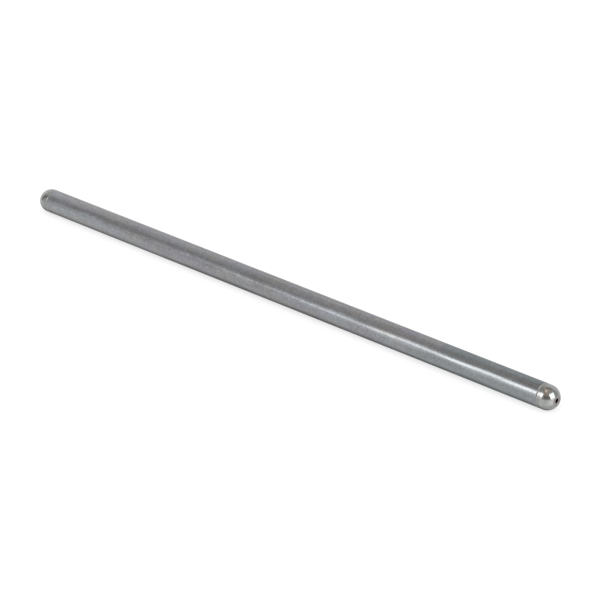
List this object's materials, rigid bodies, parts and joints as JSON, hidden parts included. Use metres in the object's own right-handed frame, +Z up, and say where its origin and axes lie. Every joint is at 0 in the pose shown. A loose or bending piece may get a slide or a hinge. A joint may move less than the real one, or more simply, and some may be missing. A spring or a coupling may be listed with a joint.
{
  "type": "engine pushrod",
  "caption": "Straight hollow steel rod with a drilled ball end pressed into each end, which carries motion and oil from a valve lifter to a rocker arm.",
  "frame": {"origin": "on the rod's axis, midway between the two ball tips", "axes": "+X along the rod towards the rocker end, +Z up as the rod lies in the picture"},
  "size_m": [0.221, 0.008, 0.008],
  "materials": {
    "ground_tube": "ground and honed to a fine satin, faintly blued towards the rocker end",
    "polished_ball_end": "hardened steel, turned and mirror polished"
  },
  "bodies": {
    "root": {"tube": "ground_tube", "rocker_ball_end": "polished_ball_end", "lifter_ball_end": "polished_ball_end"}
  },
  "joints": []
}
